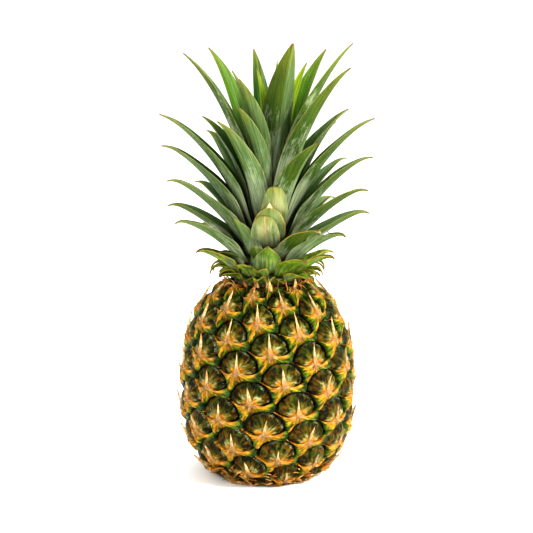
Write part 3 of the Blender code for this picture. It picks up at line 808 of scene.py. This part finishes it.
def leafPoints(spine, azimuth, share, side, depth, width, bluntness, wave, broad):
    radius, height, angle = (np.interp(share, spine[0], line) for line in spine[1:])
    # a broad leaf opens wider than the stem's own curve
    opened = smoothStep(share / crown["opensBy"])
    curve = np.maximum(radius, between(radius, crown["broadRadius"], opened * broad))
    width = width * between(1.0, crown["broadGrowth"], broad)
    half = np.minimum(0.5 * width * leafWidth(share, bluntness), curve * math.radians(crown["wrapLimit"]))
    soft = np.sqrt(side**2 + crown["keelSoftness"]) - math.sqrt(crown["keelSoftness"])
    depthShare = 0.0 if bluntness > crown["budFrom"] else crown["channel"]
    channel = depthShare * 2.0 * half * opened
    lift = channel * (0.6 * soft + 0.4 * side**2) + wave * side**2 - depth
    bend = side * half / curve
    away = curve - lift * np.cos(angle)
    turn = math.radians(azimuth)
    face = turn - math.radians(crown["broadTwist"]) * broad
    outward = away * np.cos(bend) - curve
    across = away * np.sin(bend)
    place = np.stack((radius * math.sin(turn) + outward * math.sin(face) + across * math.cos(face),
                      across * math.sin(face) - outward * math.cos(face) - radius * math.cos(turn),
                      height + lift * np.sin(angle)), axis=-1)
    place[:, 0] += crown["lean"] * (place[:, 2] - neckHeight)
    return place * mm, side * half


def buildLeaf(row, number, stations, pull=0.0, pose=""):
    azimuth, rank, length, width = row
    bluntness = tipShapes.get(number, crown["bluntness"])
    spine = leafSpine(rank, length, bluntness, "upright" if number in uprightLeaves else pose)
    chance = random.Random(crown["seed"] + number)
    lot = chance.random()
    count = crown["across"]
    shares = 0.992 * np.linspace(0.0, 1.0, stations) ** 0.9
    sides = np.sin(np.linspace(-0.5 * math.pi, 0.5 * math.pi, count))
    loop = np.concatenate((sides, sides[::-1]))
    under = np.repeat((0.0, 1.0), count)
    share, side = grid(shares, loop)
    below = np.tile(under, stations)
    rib = crown["ribThickness"] * (1.0 - 0.55 * share) - crown["edgeThickness"]
    thick = crown["edgeThickness"] + rib * (1.0 - np.abs(side) ** 1.6)
    wave = 0.35 * np.sin(share * (9.0 + 5.0 * lot) + 6.0 * lot)
    wave = wave * smoothStep(share * 4.0) * smoothStep((1.0 - share) * 3.0)
    broad = float(number == crown["broadest"])
    points, across = leafPoints(spine, azimuth, share, side, below * thick, width, bluntness, wave, broad)
    tip, _ = leafPoints(spine, azimuth, np.array([1.0]), np.array([0.0]), 0.2, width, bluntness, 0.0, broad)
    root = points[:2 * count].mean(axis=0)
    points = np.concatenate((points, tip, root[None]))
    if pull:
        inward = points[:, :2] / np.linalg.norm(points[:, :2], axis=1)[:, None]
        points[:, :2] -= inward * pull * mm
    ring = 2 * count
    faces = ringFaces(0, stations, ring)
    last = (stations - 1) * ring
    tipPoint, rootPoint = len(points) - 2, len(points) - 1
    for place in range(ring):
        after = (place + 1) % ring
        faces.append((last + place, last + after, tipPoint))
        faces.append((after, place, rootPoint))
    place = np.stack((across, share * length, below), axis=-1)
    place = np.concatenate((place, [[0.0, length, 0.5], [0.0, 0.0, 0.5]]))
    shape = np.stack((share, side, np.full_like(share, rank)), axis=-1)
    shape = np.concatenate((shape, [[1.0, 0.0, rank], [0.0, 0.0, rank]]))
    bud = budColours.get(number, 0.0)
    kind = np.tile((lot, freshLeaves.get(number, 0.0), bud), (len(points), 1))
    return points, faces, {"local": place, "shape": shape, "kind": kind}


def leafMaterial():
    newMaterial("leaf_blade")
    place, _, _, under = readPlace("local")
    _, share, side, rank = readPlace("shape")
    _, lot, freshness, bud = readPlace("kind")
    own = shifted(place, joined(times(lot, 90.0), times(lot, 530.0)))
    lines = remap(speckle(own, (1.1, 0.03, 1.0), 4.0, 0.65), 0.3, 0.7)
    thin = remap(speckle(own, (3.4, 0.05, 1.0), 3.0, 0.6), 0.3, 0.7)
    patch = speckle(own, (0.14, 0.045, 0.3), 7.0, 0.68, 0.1)
    dust = speckle(own, (1.6, 0.8, 1.0), 3.0, 0.7)
    edge = calc("ABSOLUTE", side)
    low = remap(rank, 0.26, 0.06)
    husk = remap(freshness, 0.0, -1.0)
    # upper side: deep green with lighter lines; under side: grey bloom, rubbed away in patches
    upper = blend(lines, (0.008, 0.040, 0.003), (0.045, 0.13, 0.008))
    rubbed = blend(lines, (0.018, 0.054, 0.003), (0.080, 0.142, 0.012))
    bloom = blend(lines, (0.12, 0.175, 0.075), (0.40, 0.43, 0.29))
    worn = plus(patch, remap(share, 0.12, 0.8, -0.12, 0.20))
    worn = nudged(nudged(worn, dust, 0.18), lot, 0.16)
    lower = blend(remap(worn, 0.44, 0.60), bloom, rubbed)
    sunned = blend(thin, (0.055, 0.075, 0.002), (0.18, 0.19, 0.015))
    sunnedAmount = times(remap(worn, 0.58, 0.76), remap(dust, 0.42, 0.58, 0.1, 0.6))
    lower = blend(sunnedAmount, lower, sunned)
    # painted light: one half of the blade, on one side of the keel, a little lighter than the other
    turned = times(side, calc("SIGN", minus(lot, 0.3)))
    litHalf = times(remap(turned, -0.02, 0.04), remap(share, 0.15, 0.5, 0.15, 0.5))
    fresh = blend(lines, (0.07, 0.20, 0.004), (0.28, 0.46, 0.015))
    bright = blend(lines, (0.20, 0.36, 0.002), (0.52, 0.66, 0.008))
    fresh = blend(remap(freshness, 0.8, 1.0, 0.0, 0.75), fresh, bright)
    lime = blend(lines, (0.13, 0.20, 0.008), (0.42, 0.48, 0.04))
    mottle = speckle(own, (0.34, 0.17, 0.5), 4.0, 0.6, 0.3)
    lime = blend(remap(mottle, 0.56, 0.44), lime, blend(lines, (0.045, 0.10, 0.008), (0.15, 0.23, 0.03)))
    cream = blend(remap(patch, 0.38, 0.62), (0.10, 0.15, 0.045), (0.38, 0.39, 0.17))
    cream = blend(times(lines, 0.25), cream, (0.50, 0.48, 0.28))
    olive = blend(lines, (0.10, 0.13, 0.008), (0.24, 0.25, 0.03))
    tipGlow = remap(plus(share, times(patch, 0.2)), 0.82, 1.08)
    worst = plus(husk, low)
    margin = remap(plus(edge, times(thin, 0.03), times(worst, 0.06)), 0.965, 1.01)
    rimColour = blend(worst, (0.36, 0.32, 0.12), (0.62, 0.36, 0.06))
    # short dry points, a little longer on the lowest leaves
    dryStart = plus(minus(0.975, times(low, 0.07)), times(bud, 0.012))
    dryStart = minus(dryStart, times(husk, 0.085))
    dry = minus(plus(share, times(lines, 0.015)), dryStart)
    brown = blend(thin, (0.07, 0.035, 0.015), (0.34, 0.18, 0.07))
    brown = blend(husk, brown, blend(thin, (0.42, 0.22, 0.09), (0.78, 0.60, 0.36)))
    # the crack that runs down a closed bud from its pink tip
    crackWidth = remap(share, 0.5, 0.95, 0.02, 0.09)
    crack = calc("DIVIDE", calc("ABSOLUTE", minus(nudged(side, patch, 1.8), 0.08)), crackWidth)
    crack = times(remap(crack, 1.0, 0.3), remap(share, 0.4, 0.6), remap(bud, 0.6, 0.75, 0.0, 0.75))
    colour = layered(
        blend(under, upper, lower),
        # painted light: one half beside the keel lighter, as if lit
        (litHalf, blend(lines, (0.10, 0.18, 0.05), (0.27, 0.35, 0.18))),
        (freshness, fresh),
        (times(low, remap(patch, 0.35, 0.6, 0.35, 0.95)), lime),
        (times(bud, remap(share, 0.15, 0.6, 0.3, 0.9)), cream),
        (times(tipGlow, 0.65), olive),
        (times(margin, remap(share, 0.1, 0.9, 0.3, 0.6)), rimColour),
        (remap(dry, 0.0, 0.02), brown),
        (crack, blend(thin, (0.30, 0.12, 0.05), (0.62, 0.34, 0.20))),
    )
    shade = remap(share, 0.0, 0.22, 0.6, 1.0)
    shade = addNode("CombineColor", {0: shade, 1: shade, 2: shade}).outputs[0]
    colour = blend(1.0, colour, shade, "MULTIPLY")
    rough = plus(remap(lines, 0.3, 0.7, 0.36, 0.5), times(under, 0.1))
    relief = plus(times(lines, 0.6), times(thin, 0.4))
    return finishSurface(colour, rough, relief, 0.0004, 0.24)


def buildCrown(material):
    for number, row in enumerate(leafTable, start=1):
        name = f"leaf_{number:02d}"
        stations = int(crown["stations"] * (0.55 + 0.45 * min(row[2] / 100.0, 1.0)))
        points, faces, values = buildLeaf(row, number, stations)
        addPiece(f"blade_{number:02d}", points, faces, material, values, [name])


# the stem, the small leaves of the neck and the dry curls round it
neck = {
    "sides": 96,
    "rows": 70,
    "leaves": 18,
    "firstNumber": 100,
    "stations": 26,
    "leafTurn": 137.5,
    "seed": 11,
    "ranks": (-0.14, -0.08),
    "lengths": (9.0, 25.0),
    "widths": (8.0, 17.0),
    "rankSpread": 0.035,
    "root": 3.2,
    "hooks": ((-92, 0.06, 26, 6.5), (-84, -0.04, 25, 6.0), (-103, -0.1, 23, 5.5), (-66, -0.02, 20, 5.5),
              (88, 0.10, 27, 7.0), (97, 0.02, 25, 6.0), (78, -0.06, 23, 6.0), (64, 0.0, 21, 6.0)),
    "curls": 90,
    "curlRadius": (24.0, 32.0),
    "curlLength": (5.0, 12.5),
    "curlWidth": (0.35, 2.2),
    "curlLean": (-5.0, 60.0),  # degrees from upright
    "curlBend": (30.0, 170.0),
}
foot = {
    "frays": 190,
    "turn": 137.5,
    "arcs": (1.0, 19.0),  # up the skin from the flat spot
    "length": (4.0, 9.0),
    "width": (0.5, 1.9),
}


def buildStem(material):
    heights = np.append(neckHeight + crown["stemGap"], crownRule[1:, 1])
    radii = crownRule[:, 2] - crown["stemInset"]
    heights = np.append(heights, heights[-1] + crown["stemCap"])
    radii = np.append(radii, 0.05)
    height, turn = grid(np.linspace(heights[0], heights[-1], neck["rows"]), allRound(neck["sides"]))
    grain = wobble(np.stack((np.cos(turn) * 7.0, np.sin(turn) * 7.0, height * 0.12), axis=-1), 8)
    radius = np.interp(height, heights, radii) + 0.5 * grain * smoothStep((heights[-1] - height) / 6.0)
    place = np.stack((radius * np.sin(turn), -radius * np.cos(turn), height), axis=-1)
    place[:, 0] += crown["lean"] * (height - neckHeight)
    faces = ringFaces(0, neck["rows"], neck["sides"])
    local = np.stack((turn, height - neckHeight, grain), axis=-1)
    addPiece("stem_skin", place * mm, faces, material, {"local": local}, ["crown_stem"])


def stemMaterial():
    newMaterial("stem_skin")
    place, _, height, grain = readPlace("local")
    lines = speckle(place, (9.0, 0.12, 1.0), 4.0, 0.6)
    colour = layered(
        blend(lines, (0.035, 0.06, 0.006), (0.22, 0.27, 0.06)),
        (remap(height, 7.0, 1.0), (0.06, 0.035, 0.008)),
        (remap(grain, 0.1, 0.5, 0.0, 0.5), (0.30, 0.34, 0.12)),
    )
    return finishSurface(colour, remap(lines, 0.3, 0.7, 0.45, 0.65), lines, 0.0006)


def buildNeckLeaves(material):
    chance = random.Random(neck["seed"])
    points, faces = [], []
    values = {"local": [], "shape": [], "kind": []}
    rows = []
    for number in range(neck["leaves"]):
        low, high = neck["ranks"]
        rank = low + (high - low) * number / (neck["leaves"] - 1)
        length = chance.uniform(*neck["lengths"])
        width = chance.uniform(*neck["widths"])
        rank += chance.uniform(-1.0, 1.0) * neck["rankSpread"]
        rows.append(((number * neck["leafTurn"], rank, length, width), neck["root"], ""))
    rows += [(hook, 0.0, "hooked") for hook in neck["hooks"]]
    for number, (row, pull, pose) in enumerate(rows):
        own, ownFaces, ownValues = buildLeaf(row, neck["firstNumber"] + number, neck["stations"], pull, pose)
        start = sum(len(part) for part in points)
        points.append(own)
        faces += [tuple(index + start for index in face) for face in ownFaces]
        for key in values:
            values[key].append(ownValues[key])
    addPiece("neck_leaves", points, faces, material, values, ["crown_stem"])


def ribbon(path, sideways, widths, thickness):
    # flat tapering strip with four points at each step of its path
    along = np.gradient(path, axis=0)
    along /= np.linalg.norm(along, axis=1)[:, None]
    side = sideways - along * np.sum(sideways * along, axis=1)[:, None]
    side /= np.linalg.norm(side, axis=1)[:, None]
    out = np.cross(side, along)
    widths, thickness = widths[:, None], thickness[:, None]
    rows = (path - side * widths, path + out * thickness, path + side * widths, path - out * thickness)
    return np.stack(rows, axis=1).reshape(-1, 3)


def ribbonFaces(start, steps):
    last = start + (steps - 1) * 4
    foot = (start + 3, start + 2, start + 1, start)
    return [foot, *ringFaces(start, steps, 4), (last, last + 1, last + 2, last + 3)]


def addRibbons(name, strips, material, replaced):
    points, faces, local = [], [], []
    for path, sideways, width, lot in strips:
        steps = len(path)
        share = np.linspace(0.0, 1.0, steps)
        taper = np.maximum(1.0 - share**1.4, 0.06)
        faces += ribbonFaces(sum(len(part) for part in points), steps)
        points.append(ribbon(path, sideways, width * taper, (0.12 + 0.22 * width) * taper))
        corners = np.tile(np.array((-1.0, 0.0, 1.0, 0.0)), steps)
        local.append(np.stack((corners * width, np.repeat(share, 4), np.full(4 * steps, lot)), axis=-1))
    points = np.concatenate(points) * mm
    points[:, 2] = np.maximum(points[:, 2], 0.0)
    addPiece(name, points, faces, material, {"local": local}, replaced)


def neckCurls():
    chance = random.Random(neck["seed"] + 1)
    for number in range(neck["curls"]):
        azimuth = math.radians(number * neck["leafTurn"] + chance.uniform(-9.0, 9.0))
        radius = chance.uniform(*neck["curlRadius"])
        arc = np.interp(-radius, -radiusTable[-600:], arcTable[-600:])
        start = onSkin(np.array([azimuth]), np.array([min(arc, neckArc)]), np.array([-1.5]))[0] / mm
        length = chance.uniform(*neck["curlLength"])
        lean = math.radians(chance.uniform(*neck["curlLean"]))
        bend = math.radians(chance.uniform(*neck["curlBend"])) * chance.choice((1.0, 1.0, -0.5))
        sway = math.radians(chance.uniform(-70.0, 70.0))
        out = np.array((math.sin(azimuth), -math.cos(azimuth), 0.0))
        across = np.array((math.cos(azimuth), math.sin(azimuth), 0.0))
        share = np.linspace(0.0, 1.0, 14)[:, None]
        turn = lean + bend * share**1.4
        step = (out * np.sin(turn) + np.array((0.0, 0.0, 1.0)) * np.cos(turn)) * np.cos(sway * share)
        step = step + across * np.sin(sway * share)
        path = start + np.concatenate((np.zeros((1, 3)), np.cumsum(step[:-1], axis=0))) * length / 13
        narrow, broad = neck["curlWidth"]
        width = between(narrow, broad, chance.random() ** 2.2)
        yield path, np.tile(across, (14, 1)), width, chance.random()


def footFrays():
    chance = random.Random(neck["seed"] + 2)
    for number in range(foot["frays"]):
        azimuth = math.radians(number * foot["turn"] + chance.uniform(-12.0, 12.0))
        arc = footArc + chance.uniform(*foot["arcs"])
        length = chance.uniform(*foot["length"])
        heading = math.radians(chance.uniform(-75.0, 75.0))
        rise = chance.uniform(1.0, 3.4)
        share = np.linspace(0.0, 1.0, 8)
        bent = heading * (1.0 + 0.6 * share)
        arcs = arc + length * share * np.cos(bent)
        turns = azimuth + length * share * np.sin(bent) / np.interp(arc, arcTable, radiusTable)
        path = onSkin(turns, arcs, -0.8 + rise * share**1.3 + 0.8 * share) / mm
        side = onSkin(turns + 0.01, arcs, 0.0 * share) / mm - onSkin(turns, arcs, 0.0 * share) / mm
        yield path, side, chance.uniform(*foot["width"]), chance.random()


def dryMaterial():
    newMaterial("dry_curls")
    place, _, share, lot = readPlace("local")
    lines = speckle(place, (2.6, 3.0, 40.0), 3.0, 0.6)
    pale = blend(lines, (0.60, 0.27, 0.06), (0.95, 0.66, 0.30))
    rusty = blend(lines, (0.16, 0.05, 0.008), (0.72, 0.28, 0.04))
    colour = layered(
        pale,
        (remap(lot, 0.35, 0.75), rusty),
        (remap(share, 0.3, 0.0, 0.0, 0.6), (0.40, 0.32, 0.03)),
        (remap(share, 0.75, 1.0, 0.0, 0.7), (0.20, 0.08, 0.02)),
    )
    return finishSurface(colour, 0.55, lines, 0.0004, 0.25)


def setFloor():
    newMaterial("floor_paper")
    place = addNode("TexCoord", {}).outputs["Object"]
    grain = speckle(place, 30.0, 3.0)
    shade = tuple(part * view["floorShade"] for part in view["floorColour"])
    paper = feedShader({"Base Color": blend(grain, view["floorColour"], shade), "Roughness": 0.75})
    half = view["floorSize"] / 2
    mesh = bpy.data.meshes.new("floor")
    corners = [(-half, -half, 0), (half, -half, 0), (half, half, 0), (-half, half, 0)]
    mesh.from_pydata(corners, [], [(0, 1, 2, 3)])
    mesh.materials.append(paper)
    floor = bpy.data.objects.new("floor", mesh)
    floor.location.z = -view["floorDrop"]
    scene.collection.objects.link(floor)


setCamera()
setLights()
setFloor()
print("camera, lights and floor are set")

eyes = eyeMaterial()
bracts = bractMaterial()
middle = (fruit["lowest"] + fruit["highest"]) // 2
lowerHalf = range(fruit["lowest"], middle)
upperHalf = range(middle, fruit["highest"] + 1)
buildGroundwork(grooveMaterial())
buildEyes("eyes_lower", lowerHalf, eyes)
buildEyes("eyes_upper", upperHalf, eyes)
print("eyes are in")
buildBracts("bracts_lower", lowerHalf, bracts)
buildBracts("bracts_upper", upperHalf, bracts)
print("bracts are in")

blades = leafMaterial()
buildCrown(blades)
buildStem(stemMaterial())
buildNeckLeaves(blades)
dry = dryMaterial()
addRibbons("neck_curls", list(neckCurls()), dry, ["crown_stem"])
addRibbons("foot_frays", list(footFrays()), dry, ["fruit"])
print("leaves, stem and dry curls are in")
